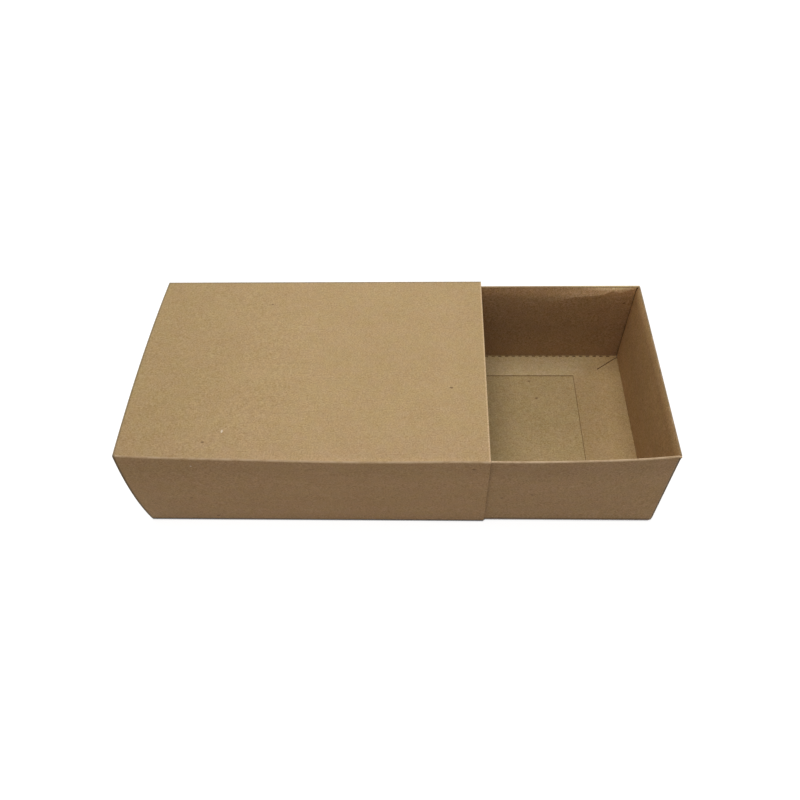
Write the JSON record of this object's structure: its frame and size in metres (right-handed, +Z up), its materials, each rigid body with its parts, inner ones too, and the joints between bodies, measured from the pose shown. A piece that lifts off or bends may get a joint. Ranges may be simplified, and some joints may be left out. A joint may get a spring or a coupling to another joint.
{
  "type": "sliding drawer gift box",
  "caption": "Kraft board gift box: an open-ended folded sleeve with a double-walled drawer that slides out of it lengthwise.",
  "frame": {"origin": "middle of the sleeve's underside, on the plane that the box stands on", "axes": "+X the way the drawer comes out, -Y the front, +Z up"},
  "size_m": [0.255, 0.117, 0.0613],
  "materials": {
    "kraft_board": "matte"
  },
  "bodies": {
    "sleeve": {"sleeve_bottom_panel": "kraft_board", "sleeve_front_panel": "kraft_board", "sleeve_top_panel": "kraft_board", "sleeve_back_panel": "kraft_board", "sleeve_glue_flap": "kraft_board"},
    "drawer": {"drawer_floor": "kraft_board", "drawer_front_outer_wall": "kraft_board", "drawer_front_inner_wall": "kraft_board", "drawer_front_floor_flange": "kraft_board", "drawer_back_outer_wall": "kraft_board", "drawer_back_inner_wall": "kraft_board", "drawer_back_floor_flange": "kraft_board", "drawer_left_outer_wall": "kraft_board", "drawer_left_inner_wall": "kraft_board", "drawer_left_floor_flange": "kraft_board", "drawer_left_front_corner_flap": "kraft_board", "drawer_left_back_corner_flap": "kraft_board", "drawer_right_outer_wall": "kraft_board", "drawer_right_inner_wall": "kraft_board", "drawer_right_floor_flange": "kraft_board", "drawer_right_front_corner_flap": "kraft_board", "drawer_right_back_corner_flap": "kraft_board"}
  },
  "joints": [
    {"name": "drawer_slide", "type": "slide", "parent": "sleeve", "child": "drawer", "axis": [1, 0, 0], "range_m": [-0.0851, 0.0846]}
  ]
}
